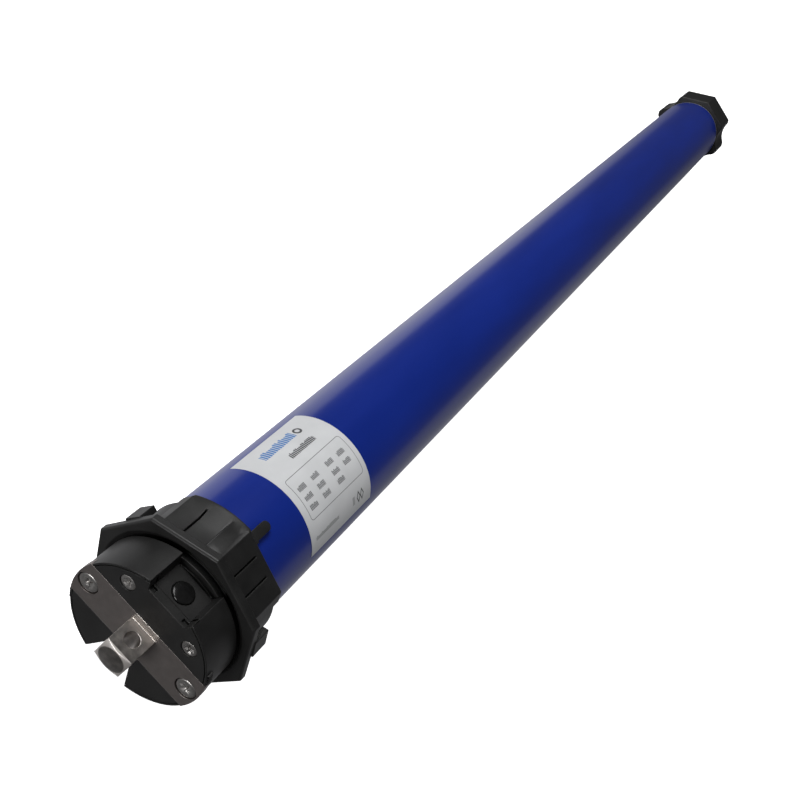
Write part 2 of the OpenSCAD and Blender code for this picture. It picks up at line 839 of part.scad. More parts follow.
bracket_plate();
mounting_stud();
plate_screws();
front_cap();
cap_screws();
head_housing();
button_insert();
button();
push_switch();
switch_board();
cable_grommet();
crown_adapter();
running_ring();
sensor_pinion();
sensor_carrier();
sensor_board();
neck_sleeve();
motor_tube();
type_label();
tube_screws();
board_tray();
control_board();
relays();
transformer();
terminal_block();
radio_module();
run_capacitor();
capacitor_sleeve();
front_shield();
rear_shield();
shaft_bearings();
stator_core();
stator_windings();
thermal_switch();
rotor_core();
rotor_shaft();
brake_magnet();
brake_coil();
brake_armature();
brake_springs();
brake_disc();
brake_end_plate();
gearbox_flange();
ring_gear();
carrier_1();
carrier_2();
output_carrier();
planet(0, 0);  // planet_1a
planet(0, 1);  // planet_1b
planet(0, 2);  // planet_1c
planet(1, 0);  // planet_2a
planet(1, 1);  // planet_2b
planet(1, 2);  // planet_2c
planet(2, 0);  // planet_3a
planet(2, 1);  // planet_3b
planet(2, 2);  // planet_3c
output_housing();
output_bushes();
drive_wheel();
wheel_fixing();
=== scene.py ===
"""Looks of a tubular motor for a roller shutter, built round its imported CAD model.

Design sizes are in millimetres in the CAD frame: +X runs along the motor from the fixed head to
the drive wheel, and +Z points to the side with the setting button. Angles round the motor are in
degrees, from +Z towards +Y.
"""

import math

import bmesh
import bpy
from mathutils import Matrix, Vector


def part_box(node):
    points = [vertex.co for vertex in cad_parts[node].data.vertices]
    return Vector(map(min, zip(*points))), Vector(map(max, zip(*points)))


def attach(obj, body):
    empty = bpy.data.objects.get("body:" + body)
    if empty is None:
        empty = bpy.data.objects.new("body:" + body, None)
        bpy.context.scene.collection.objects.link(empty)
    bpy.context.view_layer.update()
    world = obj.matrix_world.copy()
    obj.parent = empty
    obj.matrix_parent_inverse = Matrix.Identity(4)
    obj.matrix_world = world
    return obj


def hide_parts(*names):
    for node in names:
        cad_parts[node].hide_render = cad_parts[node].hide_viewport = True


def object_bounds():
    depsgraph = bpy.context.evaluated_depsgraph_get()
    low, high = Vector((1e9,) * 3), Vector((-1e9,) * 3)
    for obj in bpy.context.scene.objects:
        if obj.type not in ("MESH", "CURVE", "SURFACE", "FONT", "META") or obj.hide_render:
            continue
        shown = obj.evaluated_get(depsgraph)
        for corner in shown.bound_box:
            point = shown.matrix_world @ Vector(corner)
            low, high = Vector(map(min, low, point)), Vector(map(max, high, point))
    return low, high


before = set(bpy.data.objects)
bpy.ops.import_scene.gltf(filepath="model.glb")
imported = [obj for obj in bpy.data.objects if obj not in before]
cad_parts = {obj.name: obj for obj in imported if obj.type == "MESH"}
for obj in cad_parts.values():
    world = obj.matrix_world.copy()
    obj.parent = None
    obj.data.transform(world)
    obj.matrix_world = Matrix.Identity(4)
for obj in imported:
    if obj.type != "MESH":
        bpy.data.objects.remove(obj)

bpy.context.view_layer.update()
CAD_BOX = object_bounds()
MM = 0.001


def low(node):
    """Lowest corner of a CAD node, in millimetres."""
    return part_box(node)[0] / MM


def high(node):
    """Highest corner of a CAD node, in millimetres."""
    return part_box(node)[1] / MM


# ---------------------------------------------------------------- design sizes

ROUND = 180                      # facets of a large turned surface
MIDDLE_ROUND = 96                # facets of a visible screw or button
FINE_ROUND = 64                  # facets of a small hole
EDGE_ANGLE = 32                  # edges that turn by more are rounded
FACE_ANGLE = 40                  # edges that turn by more stay sharp on unrounded pieces

# head
HEAD_R = high("front_cap").y + 0.95     # the cap sits inside the head's rim
HEAD_LEN = 14.3
CAP_R = high("front_cap").y
CAP_LEN = high("front_cap").x
RIM_R = HEAD_R - 0.7
PLATE_HALF = high("bracket_plate").z
PLATE_T = high("bracket_plate").x
PLATE_R = high("bracket_plate").y
NOTCH_ANGLE = 20
FLOOR_Z = high("button_insert").z
SEAT_Z = low("button_insert").z
INSERT_X = (low("button_insert").x, high("button_insert").x)
NOTCH_Z = -9
NOTCH_BACK = 12
COLLAR = (15, 17, 21.9)          # from, to and radius
SPIGOT_R = 19.2
SPIGOT_BORE = 17.5
SPIGOT_END = high("head_housing").x
GRIP_ANGLE = 115
GRIP_HALF = 1.9
CABLE_Z = -13.4
GROMMET_R = 3.8
INLET_X = 5.5
SWITCH_POCKET = (5, 12.2, 9)     # half width, back and floor
LATCH_X = (0.9, 2.3)
LATCH_WIDTH = 1.9
PAST_HEAD = (-30, 30)            # a cutter's span that clears the head on both sides

# stud and screws
STUD_HALF = 5
STUD_TIP = low("mounting_stud").x
STUD_FOOT = 7.5
STUD_BACK = high("mounting_stud").x
PIN_HOLE_X = 0.44 * STUD_TIP
PIN_HOLE_R = 2.5
PLATE_SCREW_Y = 20.8
PLATE_HOLE_R = 1.9
PLATE_SCREW_HEAD = (3.5, 1.8)    # radius, and where the head ends
CAP_SCREW = (12.65, 14.7)        # y and z
CAP_SCREW_HEAD = (2.7, 1.4)
HEAD_SCREW_END = 11

# button
BUTTON_X = 7.6
BUTTON_R = 3.55
BUTTON_FLANGE_R = 4.3
BUTTON_STEM_R = 1.5
BUTTON_DOME_R = 13

# crown and tube
CROWN_X = low("crown_adapter").x
CROWN_REAR = 34.4
FLANGE_R = high("crown_adapter").z
FLANGE_LEN = 3
CROWN_R = 28
CROWN_MOUTH = 26.3
CROWN_BORE = 24.6
CROWN_SIDE_R = 24.7
CROWN_CORNER_ANGLE = 54
CROWN_RIM_R = 27.9
TUBE_R = high("motor_tube").z
TUBE_WALL = 1
TUBE_X = low("motor_tube").x
TUBE_END = high("motor_tube").x
RING_X = low("running_ring").x
TONGUE_ANGLE = -4.5
TONGUE_END = high("crown_adapter").x
TONGUE_HALF = 1.8
HOOK_ANGLE = 65
HOOK_LEN = 6.4
HOOK_HALF = 3.2
HOOK_R = (27.1, 29.4)
SLOT_X = (20.3, 31.3)
SLOT_HALF = 0.3
SLOT_OFFSET = 3.6                # from the middle of a flat
SLOT_DEPTH = 1.4
TUBE_SCREWS = ((47, 140), (47, 220), (TUBE_END - 20, 140), (TUBE_END - 20, 220))   # x and angle

# label
LABEL_X = (low("type_label").x, high("type_label").x)
LABEL_HALF_ANGLE = 60.5

# drive wheel
WHEEL_X = (low("drive_wheel").x, high("drive_wheel").x)
WHEEL_R = 27
WHEEL_TURN = 11
WHEEL_DIPS = (78.5, 123.5, 258.5, 303.5)
DIP_R = 14
DIP_DEPTH = 2.2
SHAFT_R = 8
SHAFT_FLAT = 7
WASHER_X = high("output_carrier").x


# ---------------------------------------------------------------- shader maths


class Value:
    """What a node gives out. Arithmetic on it adds Math nodes to the same material."""

    def __init__(self, paint, socket):
        self.paint = paint
        self.socket = socket

    def _math(self, operation, *operands):
        return self.paint.node("ShaderNodeMath", {"operation": operation}, dict(enumerate(operands)))

    def __add__(self, other):
        return self._math("ADD", self, other)

    def __sub__(self, other):
        return self._math("SUBTRACT", self, other)

    def __rsub__(self, other):
        return self._math("SUBTRACT", other, self)

    def __mul__(self, other):
        return self._math("MULTIPLY", self, other)

    def __truediv__(self, other):
        return self._math("DIVIDE", self, other)

    def __gt__(self, other):
        return self._math("GREATER_THAN", self, other)

    def __lt__(self, other):
        return self._math("LESS_THAN", self, other)

    def __mod__(self, other):
        return self._math("FLOORED_MODULO", self, other)

    def __abs__(self):
        return self._math("ABSOLUTE", self)

    def most(self, other):
        return self._math("MAXIMUM", self, other)

    def least(self, other):
        return self._math("MINIMUM", self, other)

    def floor(self):
        return self._math("FLOOR", self)

    __radd__ = __add__
    __rmul__ = __mul__


class Nodes:
    """The shader nodes of a material or of the world's light."""

    def __init__(self, owner, shader):
        owner.use_nodes = True
        self.tree = owner.node_tree
        self.shader = self.tree.nodes[shader]

    def node(self, kind, settings=None, inputs=None, output=0):
        """Adds a node: its settings first, then the values or links of its sockets."""
        made = self.tree.nodes.new(kind)
        for name, value in (settings or {}).items():
            setattr(made, name, value)
        for key, value in (inputs or {}).items():
            self.feed(made.inputs[key], value)
        return Value(self, made.outputs[output])

    def feed(self, socket, value):
        if isinstance(value, Value):
            self.tree.links.new(value.socket, socket)
        else:
            socket.default_value = value

    def parts(self, vector):
        """The x, y and z of a vector."""
        split = self.node("ShaderNodeSeparateXYZ", inputs={0: vector})
        outputs = split.socket.node.outputs
        return [Value(self, outputs[i]) for i in range(3)]

    def length(self, x, y):
        """Distance of the point x, y from the origin."""
        point = self.node("ShaderNodeCombineXYZ", inputs={0: x, 1: y})
        return self.node("ShaderNodeVectorMath", {"operation": "LENGTH"}, {0: point}, "Value")

    def ramp(self, value, low_end, high_end, to_low=0.0, to_high=1.0):
        """value taken from one range to another, held at its ends."""
        return self.node(
            "ShaderNodeMapRange",
            {"clamp": True},
            {"Value": value, 1: low_end, 2: high_end, 3: to_low, 4: to_high},
        )

    def mix(self, mask, first, second):
        """The colour first where mask is 0, and second where it is 1."""
        first = first if isinstance(first, Value) else (*first, 1)
        second = second if isinstance(second, Value) else (*second, 1)
        return self.node("ShaderNodeMix", {"data_type": "RGBA"}, {0: mask, 6: first, 7: second}, 2)


class Paint(Nodes):
    """One material and the nodes that make it."""

    def __init__(self, name, **sockets):
        self.material = bpy.data.materials.new(name)
        super().__init__(self.material, "Principled BSDF")
        self.set(**sockets)

    def set(self, **sockets):
        """Sets the shader's sockets, named with _ for a space."""
        for name, value in sockets.items():
            if isinstance(value, tuple) and len(value) == 3:
                value = (*value, 1)
            self.feed(self.shader.inputs[name.replace("_", " ").title().replace("Ior", "IOR")], value)

    def place(self):
        """Where a point lies in the piece's own frame, in millimetres."""
        return self.stretch(self.node("ShaderNodeTexCoord", output="Object"), (1 / MM,) * 3)

    def stretch(self, vector, scale):
        return self.node("ShaderNodeVectorMath", {"operation": "MULTIPLY"}, {0: vector, 1: scale})

    def noise(self, vector, size, detail=2.0, roughness=0.5):
        """Soft noise from 0 to 1 whose lumps are about size millimetres across."""
        return self.node(
            "ShaderNodeTexNoise",
            {"noise_dimensions": "3D"},
            {"Vector": vector, "Scale": 1 / size, "Detail": detail, "Roughness": roughness},
        )

    def bump(self, height, depth):
        """Feeds the shader's normal with a relief that is depth millimetres high."""
        sockets = {"Height": height, "Distance": depth * MM, "Strength": 1.0}
        self.set(normal=self.node("ShaderNodeBump", inputs=sockets))


# ---------------------------------------------------------------- materials


def moulded(name, colour, roughness, grain=0.22, depth=0.012, tint=0.25):
    """Injection-moulded plastic with a fine spark-eroded grain and faint handling marks."""
    paint = Paint(name, specular_ior_level=0.45)
    place = paint.place()
    cloud = paint.noise(place, 9.0, 3.0)
    fine = paint.noise(place, grain, 2.0)
    scuff = paint.ramp(paint.noise(paint.stretch(place, (0.35, 1.0, 1.0)), 1.6, 4.0, 0.65), 0.62, 0.8)
    shade = paint.ramp(cloud, 0.3, 0.7, 1 - tint, 1 + tint)
    base = paint.node("ShaderNodeVectorMath", {"operation": "SCALE"}, {0: colour, "Scale": shade})
    worn = tuple(0.04 + 0.9 * c for c in colour)
    paint.set(base_color=paint.mix(scuff * 0.12, base, worn))
    paint.set(roughness=paint.ramp(cloud, 0.25, 0.75, roughness - 0.05, roughness + 0.06) - scuff * 0.06)
    paint.bump(fine, depth)
    return paint.material


def brushed(name, colour, roughness, direction=(1.0, 0.04, 1.0), stain=0.25, depth=0.01):
    """Metal with grinding lines along the short side of direction, and darker handling stains."""
    paint = Paint(name, metallic=1.0)
    place = paint.place()
    lines = paint.noise(paint.stretch(place, direction), 0.16, 3.0, 0.6)
    cloud = paint.noise(place, 3.5, 4.0, 0.6)
    spots = paint.ramp(paint.noise(place, 0.9, 3.0), 0.58, 0.75)
    dark = tuple(c * (1 - stain) for c in colour)
    body = paint.mix(paint.ramp(cloud, 0.35, 0.65), dark, colour)
    paint.set(base_color=paint.mix(spots * 0.25, body, tuple(c * 0.6 for c in colour)))
    paint.set(roughness=paint.ramp(lines, 0.3, 0.7, roughness - 0.06, roughness + 0.1) + spots * 0.06)
    paint.bump(lines, depth)
    return paint.material


def plated_stud():
    """Nickel-plated stud: brushed along its length, dull near the tip and bright by the plate, with a
    painted highlight on the tip's chamfer.
    """
    paint = Paint("stud_steel", metallic=1.0)
    place = paint.place()
    x, y, z = paint.parts(place)
    lines = paint.noise(paint.stretch(place, (0.05, 1.0, 1.0)), 0.16, 3.0, 0.6)
    cloud = paint.noise(place, 2.6, 4.0, 0.6)
    # darker towards the tip and lighter towards the plate, in patches from the noise
    worn = paint.ramp(x + cloud * 5.0, -7.5, 3.0)
    dull = paint.mix(paint.ramp(cloud, 0.35, 0.65), (0.23, 0.215, 0.205), (0.38, 0.355, 0.335))
    body = paint.mix(worn, dull, (0.72, 0.67, 0.63))
    # painted highlight: a lighter colour on the band round the tip's chamfer stands in for the light it
    # reflects
    chamfer = stripe(x, STUD_TIP + 0.55, 0.4, 0.12)
    paint.set(base_color=paint.mix(chamfer, body, (0.92, 0.87, 0.83)))
    paint.set(roughness=paint.ramp(lines, 0.3, 0.7, 0.26, 0.38) + cloud * 0.08 + chamfer * 0.1)
    paint.bump(lines, 0.008)
    return paint.material


def cast(name, colour, roughness, depth=0.05):
    """Rough cast or sintered metal."""
    paint = Paint(name, metallic=1.0)
    place = paint.place()
    skin = paint.noise(place, 0.5, 4.0, 0.6)
    cloud = paint.noise(place, 6.0, 2.0)
    paint.set(base_color=paint.mix(paint.ramp(cloud, 0.3, 0.7), tuple(0.75 * c for c in colour), colour))
    paint.set(roughness=paint.ramp(skin, 0.3, 0.7, roughness - 0.08, roughness + 0.1))
    paint.bump(skin, depth)
    return paint.material


def turned_metal(name, colour, roughness, pitch=0.3):
    """Lathe-turned metal with fine tool rings round the motor's axis."""
    paint = Paint(name, metallic=1.0)
    place = paint.place()
    x, y, z = paint.parts(place)
    rings = abs((x / pitch) % 1 - 0.5)
    cloud = paint.noise(place, 2.5, 3.0)
    paint.set(base_color=paint.mix(paint.ramp(cloud, 0.3, 0.7), tuple(0.85 * c for c in colour), colour))
    paint.set(roughness=paint.ramp(cloud, 0.3, 0.7, roughness - 0.05, roughness + 0.08))
    paint.bump(rings, 0.004)
    return paint.material


def tube_paint():
    """Deep blue satin coat on the steel tube, with a slight orange peel and a few fine scratches."""
    paint = Paint("tube_paint", coat_roughness=0.12, coat_ior=1.5, specular_ior_level=0.38)
    place = paint.place()
    peel = paint.noise(place, 1.3, 2.0)
    cloud = paint.noise(paint.stretch(place, (0.2, 1.0, 1.0)), 14.0, 3.0)
    scratch = paint.ramp(paint.noise(paint.stretch(place, (0.05, 1.0, 1.0)), 0.5, 4.0, 0.7), 0.7, 0.8)
    blue = paint.mix(paint.ramp(cloud, 0.3, 0.7), (0.0022, 0.0170, 0.200), (0.0032, 0.0210, 0.240))
    paint.set(base_color=paint.mix(scratch * 0.15, blue, (0.03, 0.06, 0.35)))
    paint.set(roughness=paint.ramp(cloud, 0.25, 0.75, 0.3, 0.37) + scratch * 0.08)
    paint.set(coat_weight=paint.ramp(cloud, 0.2, 0.8, 0.38, 0.3))
    paint.bump(peel, 0.012)
    return paint.material


def stripe(value, middle, half, soft=0.04):
    """1 within half of the middle, falling to 0 over soft."""
    return value.paint.ramp(abs(value - middle), half, half + soft, 1.0, 0.0)


def text_row(paint, x, y, centre, half, pitch):
    """A row of short uneven dashes, as small print reads from a distance."""
    cut = paint.node("ShaderNodeCombineXYZ", inputs={0: (x / pitch).floor(), 1: centre[0], 2: centre[1]})
    random = paint.node("ShaderNodeTexWhiteNoise", {"noise_dimensions": "3D"}, {"Vector": cut})
    stroke = stripe((x / pitch) % 1, 0.5, 0.3, 0.1)
    tall = stripe(y, centre[1], half[1])
    low_part = stripe(y, centre[1] - 0.16 * half[1], 0.8 * half[1])
    letter = stroke * (random > 0.4) * tall + stroke * (random < 0.4) * low_part
    return letter.least(1.0) * stripe(x, centre[0], half[0])


def table_frame(paint, x, y, middle, half):
    """Thin line round a rectangle with rounded corners."""
    corner, line = 1.2, 0.1
    past_x = abs(x - middle[0]) - half[0]
    past_y = abs(y - middle[1]) - half[1]
    reach = paint.length((past_x + corner).most(0.0), (past_y + corner).most(0.0))
    inner = past_x.most(past_y)
    return stripe(reach, corner, line) * (inner > -corner) + stripe(inner, 0.0, line) * (reach < 0.01)


def label_print(paint, x, y):
    """Masks of the label's blue, dark and grey print: a headed table with nothing to read."""
    degree = math.radians(1) * TUBE_R
    heading_y, foot_y = 42 * degree, -46.5 * degree
    blue = text_row(paint, x, y, (76.5, heading_y), (9.2, 2.0), 1.15)

    ring = stripe(paint.length(x - 88.3, y - heading_y + 0.4), 1.35, 0.4)
    dark = ring.most(text_row(paint, x, y, (81.3, 24.5 * degree), (7.4, 1.2), 0.85))
    for middle in (90.3, 92.6):
        diamond = abs(x - middle) + abs(y - foot_y) * 0.5
        dark = dark.most(stripe(diamond, 1.0, 0.22))

    frame_middle = (sum(LABEL_X) / 2 + 0.3, -9.2 * degree)
    grey = table_frame(paint, x, y, frame_middle, (16.8, 20.2 * degree)).least(1.0) * 0.9
    columns, rows = (66.6, 74.5, 83.8, 91.2), (-1.5, -11, -20)
    cells = [(column, row * degree) for row in rows for column in columns]
    for cell in cells[:-1]:
        grey = grey.most(text_row(paint, x, y, cell, (2.1, 0.95), 0.62))
    grey = grey.most(text_row(paint, x, y, (69.8, foot_y), (7.2, 0.75), 0.6) * 0.75)
    tick = stripe(x, 87.0, 0.7) * stripe(y, foot_y, 1.6)
    return blue, dark, grey.most(tick * 0.5)


def label():
    """White film with a row of blue dashes as its heading and grey marks that stand for print."""
    paint = Paint("label", specular_ior_level=0.5)
    x, y, z = paint.parts(paint.place())
    turn = paint.node("ShaderNodeMath", {"operation": "ARCTAN2"}, {0: y, 1: z})
    along = turn * TUBE_R
    blue, dark, grey = label_print(paint, x, along)
    cloud = paint.noise(paint.place(), 7.0, 3.0)
    film = paint.mix(paint.ramp(cloud, 0.3, 0.7), (0.60, 0.61, 0.62), (0.645, 0.655, 0.665))
    film = paint.mix(blue * 0.95, film, (0.02, 0.17, 0.46))
    film = paint.mix(dark * 0.95, film, (0.025, 0.025, 0.03))
    paint.set(base_color=paint.mix(grey * 0.85, film, (0.045, 0.045, 0.05)))
    paint.set(roughness=paint.ramp(cloud, 0.3, 0.7, 0.4, 0.48) - blue.most(dark) * 0.06)
    paint.bump(cloud, 0.02)
    return paint.material


def circuit_board():
    """Green solder mask with copper tracks under it and tinned pads."""
    paint = Paint("board", specular_ior_level=0.5, coat_weight=0.3, coat_roughness=0.2)
    x, y, z = paint.parts(paint.place())
    bend = paint.noise(paint.place(), 12.0, 1.0) * 3.0
    tracks = (abs((y / 2.2 + bend) % 1 - 0.5) < 0.16) * (abs((x / 17) % 1 - 0.5) < 0.42)
    pitch = 2.54
    pads = (abs((x / pitch) % 1 - 0.5) < 0.2) * (abs((y / pitch) % 1 - 0.5) < 0.2)
    pads = pads * (abs((x / 23) % 1 - 0.5) < 0.12)
    mask = paint.mix(tracks, (0.006, 0.075, 0.03), (0.012, 0.13, 0.05))
    paint.set(base_color=paint.mix(pads, mask, (0.62, 0.62, 0.6)))
    paint.set(roughness=0.38 - pads * 0.08, metallic=pads * 0.9)
    paint.bump(tracks + pads, 0.03)
    return paint.material


def windings():
    """Enamelled copper wire laid in turns."""
    paint = Paint("copper", metallic=0.9, coat_weight=0.6, coat_roughness=0.15)
    place = paint.place()
    x, y, z = paint.parts(place)
    wander = paint.noise(place, 5.0, 2.0) * 1.2
    wire = abs(((y + z + x * 0.15) / 0.7 + wander) % 1 - 0.5)
    cloud = paint.noise(place, 4.0, 2.0)
    paint.set(base_color=paint.mix(paint.ramp(wire, 0.0, 0.5), (0.62, 0.22, 0.07), (0.32, 0.09, 0.025)))
    paint.set(roughness=paint.ramp(cloud, 0.3, 0.7, 0.24, 0.36))
    paint.bump(wire, 0.15)
    return paint.material


def laminations():
    """Stacked electrical steel, one dark line for each sheet."""
    paint = Paint("lamination_steel", metallic=0.9)
    place = paint.place()
    x, y, z = paint.parts(place)
    seam = paint.ramp(abs((x / 0.65) % 1 - 0.5), 0.36, 0.48)
    cloud = paint.noise(place, 5.0, 3.0)
    steel = paint.mix(paint.ramp(cloud, 0.3, 0.7), (0.20, 0.205, 0.215), (0.30, 0.305, 0.31))
    paint.set(base_color=paint.mix(seam * 0.7, steel, (0.05, 0.045, 0.05)))
    paint.set(roughness=paint.ramp(cloud, 0.3, 0.7, 0.36, 0.5))
    paint.bump(1 - seam, 0.05)
    return paint.material


def friction_lining():
    """Brake lining: brown resin with light fibres and metal flecks."""
    paint = Paint("friction_lining", specular_ior_level=0.3)
    place = paint.place()
    fleck = paint.ramp(paint.noise(place, 0.35, 3.0), 0.6, 0.7)
    cloud = paint.noise(place, 2.0, 3.0)
    body = paint.mix(cloud, (0.055, 0.04, 0.03), (0.11, 0.08, 0.055))
    paint.set(base_color=paint.mix(fleck * 0.6, body, (0.35, 0.28, 0.18)))
    paint.set(roughness=paint.ramp(cloud, 0.3, 0.7, 0.75, 0.9))
    paint.bump(fleck + cloud, 0.05)
    return paint.material


def rubber():
    """Matt black rubber."""
    paint = Paint("rubber", specular_ior_level=0.3)
    place = paint.place()
    cloud = paint.noise(place, 3.0, 3.0)
    paint.set(base_color=paint.mix(cloud, (0.012, 0.012, 0.012), (0.022, 0.021, 0.02)))
    paint.set(roughness=paint.ramp(cloud, 0.3, 0.7, 0.66, 0.8))
    paint.bump(paint.noise(place, 0.2, 2.0), 0.02)
    return paint.material


def glossy_black():
    """Polished black plastic of the setting button, with a few fine marks."""
    paint = Paint("button_gloss", coat_weight=0.15, coat_roughness=0.12, specular_ior_level=0.4)
    place = paint.place()
    cloud = paint.noise(place, 1.5, 3.0)
    paint.set(base_color=paint.mix(cloud, (0.004, 0.004, 0.004), (0.008, 0.008, 0.008)))
    paint.set(roughness=paint.ramp(cloud, 0.3, 0.7, 0.13, 0.18))
    paint.bump(cloud, 0.01)
    return paint.material


MATERIALS = {
    "bracket_steel": brushed("bracket_steel", (0.30, 0.27, 0.26), 0.46, (0.5, 0.05, 1.0), 0.12),
    "stud_steel": plated_stud(),
    "screw_steel": brushed("screw_steel", (0.64, 0.62, 0.60), 0.3, (1.0, 1.0, 1.0), 0.2, 0.001),
    "black_plastic": moulded("black_plastic", (0.0108, 0.0108, 0.0106), 0.45),
    "button_gloss": glossy_black(),
    "grey_plastic": moulded("grey_plastic", (0.10, 0.10, 0.105), 0.5),
    "pale_plastic": moulded("pale_plastic", (0.62, 0.60, 0.54), 0.42, tint=0.06),
    "relay_plastic": moulded("relay_plastic", (0.02, 0.06, 0.25), 0.32),
    "rubber": rubber(),
    "tube_paint": tube_paint(),
    "label": label(),
    "board": circuit_board(),
    "capacitor_can": brushed("capacitor_can", (0.72, 0.73, 0.75), 0.28, (0.05, 1.0, 1.0), 0.1),
    "cast_alloy": cast("cast_alloy", (0.62, 0.63, 0.64), 0.5),
    "machined_steel": turned_metal("machined_steel", (0.62, 0.62, 0.63), 0.28),
    "gear_steel": turned_metal("gear_steel", (0.50, 0.49, 0.47), 0.34, 0.8),
    "lamination_steel": laminations(),
    "copper": windings(),
    "friction_lining": friction_lining(),
    "bronze": cast("bronze", (0.62, 0.40, 0.16), 0.36, 0.02),
}


# ---------------------------------------------------------------- mesh tools


def polar(radius, angle):
    """y and z of a point at a radius and an angle round the motor."""
    return radius * math.sin(math.radians(angle)), radius * math.cos(math.radians(angle))


def arc(radius, start, end, steps):
    """Points along an arc round the motor, both ends included."""
    return [polar(radius, start + (end - start) * i / steps) for i in range(steps + 1)]


def placed(name, data):
    """A new object in the scene from a mesh, a light or a camera."""
    thing = bpy.data.objects.new(name, data)
    bpy.context.scene.collection.objects.link(thing)
    return thing


def mesh_piece(name, vertices, faces):
    """A new object from vertices in millimetres, its faces turned outwards."""
    mesh = bpy.data.meshes.new(name)
    mesh.from_pydata([Vector(v) * MM for v in vertices], [], faces)
    shell = bmesh.new()
    shell.from_mesh(mesh)
    bmesh.ops.recalc_face_normals(shell, faces=shell.faces)
    shell.to_mesh(mesh)
    shell.free()
    return placed(name, mesh)


def turned(name, profile, steps=ROUND, closed=False):
    """A solid turned about the X axis from (x, radius) points; a radius of 0 is a pole."""
    vertices = []
    rings = []
    for x, radius in profile:
        count = 1 if radius == 0 else steps
        rings.append([len(vertices) + i for i in range(count)])
        vertices += [(x, *polar(radius, 360 * i / steps)) for i in range(count)]
    following = rings[1:] + rings[:1] if closed else rings[1:]
    faces = []
    for near, far in zip(rings, following):
        for i in range(steps):
            j = (i + 1) % steps
            quad = [near[i % len(near)], near[j % len(near)], far[j % len(far)], far[i % len(far)]]
            corners = list(dict.fromkeys(quad))
            if len(corners) > 2:
                faces.append(corners)
    return mesh_piece(name, vertices, faces)


def rod(name, radius, start, end, steps=FINE_ROUND):
    """A plain turned length along X, used as a cutter."""
    return turned(name, [(start, 0), (start, radius), (end, radius), (end, 0)], steps)


def loft(name, sections):
    """A closed solid through sections, each a list of as many points."""
    count = len(sections[0])
    vertices = [point for section in sections for point in section]
    faces = [list(range(count)), [len(vertices) - count + i for i in range(count)]]
    for level in range(len(sections) - 1):
        for i in range(count):
            j = (i + 1) % count
            base = level * count
            faces.append([base + i, base + j, base + count + j, base + count + i])
    return mesh_piece(name, vertices, faces)


def prism(name, outline, start, end):
    """An outline of (y, z) points carried along X."""
    return loft(name, [[(x, y, z) for y, z in outline] for x in (start, end)])


def block(name, x, y, z):
    """A box cutter from the span of its x, y and z."""
    return prism(name, [(y[0], z[0]), (y[1], z[0]), (y[1], z[1]), (y[0], z[1])], *x)


def octagonal(name, sections, turn=0):
    """A solid with eight sides through (x, corner radius) sections."""
    corners = [turn + 45 * i for i in range(8)]
    return loft(name, [[(x, *polar(radius, angle)) for angle in corners] for x, radius in sections])


def swing(piece, angle):
    """Turns a mesh round the motor's axis, from +Z towards +Y."""
    piece.data.transform(Matrix.Rotation(-math.radians(angle), 4, "X"))
    return piece


def stand(piece, origin, direction=(1, 0, 0)):
    """Moves a mesh drawn along +X to an origin in millimetres and along a direction."""
    turn = Vector((1, 0, 0)).rotation_difference(Vector(direction)).to_matrix().to_4x4()
    piece.data.transform(Matrix.Translation(Vector(origin) * MM) @ turn)
    return piece


def settle(piece):
    """Turns a piece's modifiers into its mesh."""
    graph = bpy.context.evaluated_depsgraph_get()
    mesh = bpy.data.meshes.new_from_object(piece.evaluated_get(graph))
    piece.modifiers.clear()
    piece.data = mesh
    return piece


def combine(piece, operation, tools):
    """Cuts, joins or trims a piece with its tools, which are used up."""
    for tool in tools:
        modifier = piece.modifiers.new(operation, "BOOLEAN")
        modifier.operation = operation
        modifier.solver = "EXACT"
        modifier.object = tool
    settle(piece)
    for tool in tools:
        bpy.data.objects.remove(tool)
    return piece


def cut(piece, *tools):
    """Takes the tools away from a piece."""
    return combine(piece, "DIFFERENCE", tools)


def join(piece, *tools):
    """Adds the tools to a piece."""
    return combine(piece, "UNION", tools)


def keep(piece, *tools):
    """Leaves only what a piece shares with the tools."""
    return combine(piece, "INTERSECT", tools)


def round_edges(piece, radius, segments):
    """Rounds a piece's corners, and leaves no face with more than four corners."""
    bevel = piece.modifiers.new("rounded_edges", "BEVEL")
    bevel.width = radius * MM
    bevel.segments = segments
    bevel.limit_method = "ANGLE"
    bevel.angle_limit = math.radians(EDGE_ANGLE)
    bevel.use_clamp_overlap = False
    bevel.harden_normals = True
    split = piece.modifiers.new("split_large_faces", "TRIANGULATE")
    split.min_vertices = 5
    split.keep_custom_normals = True


def split_large_faces(piece):
    """Leaves no face with more than four corners."""
    shell = bmesh.new()
    shell.from_mesh(piece.data)
    bmesh.ops.triangulate(shell, faces=[face for face in shell.faces if len(face.verts) > 4])
    shell.to_mesh(piece.data)
    shell.free()


def finish(piece, body, slot, *nodes, edge=0.2, segments=3):
    """Rounds and paints a piece, and sets it in its CAD nodes' place."""
    if not edge:
        split_large_faces(piece)
    piece.data.shade_smooth()
    if edge:
        round_edges(piece, edge, segments)
    else:
        piece.data.set_sharp_from_angle(angle=math.radians(FACE_ANGLE))
        flatten = piece.modifiers.new("flat_faces", "WEIGHTED_NORMAL")
        flatten.keep_sharp = True
    piece.data.materials.clear()
    piece.data.materials.append(MATERIALS[slot])
    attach(piece, body)
    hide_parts(*nodes)
    return piece


# ---------------------------------------------------------------- head


def recess_outline(floor_z, angle=0):
    """The space beyond a flat floor and between two radial walls, turned to an angle."""
    corner, outside = floor_z / math.cos(math.radians(NOTCH_ANGLE)), 40
    return [
        polar(corner, angle - NOTCH_ANGLE),
        polar(corner, angle + NOTCH_ANGLE),
        polar(outside, angle + NOTCH_ANGLE),
        polar(outside, angle - NOTCH_ANGLE),
    ]


